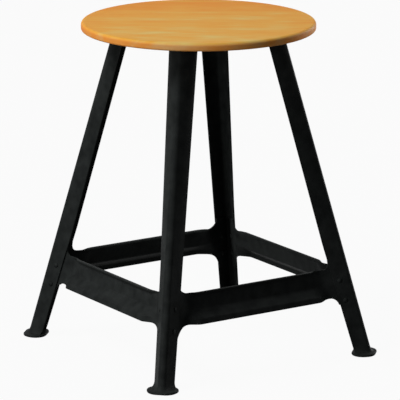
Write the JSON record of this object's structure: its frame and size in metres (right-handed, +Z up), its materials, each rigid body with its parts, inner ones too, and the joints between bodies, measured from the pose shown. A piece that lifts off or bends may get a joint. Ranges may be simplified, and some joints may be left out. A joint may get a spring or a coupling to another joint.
{
  "type": "stool",
  "caption": "Workshop stool with a round wooden seat on splayed pressed-steel legs, tied low down by pressed rails with a stepped ledge.",
  "frame": {"origin": "on the floor, under the centre of the seat", "axes": "+Z up; the legs stand on the diagonals between X and Y, so the rails run along X and Y; -Y is called the front"},
  "size_m": [0.411, 0.411, 0.5],
  "materials": {
    "seat_board": "clear varnish, orange-brown, satin",
    "seat_plate": "black satin paint",
    "leg_front_left": "black satin paint",
    "rail_rivets_front_left": "black satin paint",
    "top_rivets_front_left": "black satin paint",
    "leg_front_right": "black satin paint",
    "rail_rivets_front_right": "black satin paint",
    "top_rivets_front_right": "black satin paint",
    "leg_back_left": "black satin paint",
    "rail_rivets_back_left": "black satin paint",
    "top_rivets_back_left": "black satin paint",
    "leg_back_right": "black satin paint",
    "rail_rivets_back_right": "black satin paint",
    "top_rivets_back_right": "black satin paint",
    "rail_front": "black satin paint",
    "seat_screw_front": "zinc-plated",
    "rail_right": "black satin paint",
    "seat_screw_right": "zinc-plated",
    "rail_back": "black satin paint",
    "seat_screw_back": "zinc-plated",
    "rail_left": "black satin paint",
    "seat_screw_left": "zinc-plated"
  },
  "bodies": {
    "root": {"seat_board": "seat_board", "seat_plate": "seat_plate", "leg_front_left": "leg_front_left", "rail_rivets_front_left": "rail_rivets_front_left", "top_rivets_front_left": "top_rivets_front_left", "leg_front_right": "leg_front_right", "rail_rivets_front_right": "rail_rivets_front_right", "top_rivets_front_right": "top_rivets_front_right", "leg_back_left": "leg_back_left", "rail_rivets_back_left": "rail_rivets_back_left", "top_rivets_back_left": "top_rivets_back_left", "leg_back_right": "leg_back_right", "rail_rivets_back_right": "rail_rivets_back_right", "top_rivets_back_right": "top_rivets_back_right", "rail_front": "rail_front", "seat_screw_front": "seat_screw_front", "rail_right": "rail_right", "seat_screw_right": "seat_screw_right", "rail_back": "rail_back", "seat_screw_back": "seat_screw_back", "rail_left": "rail_left", "seat_screw_left": "seat_screw_left"}
  },
  "joints": []
}
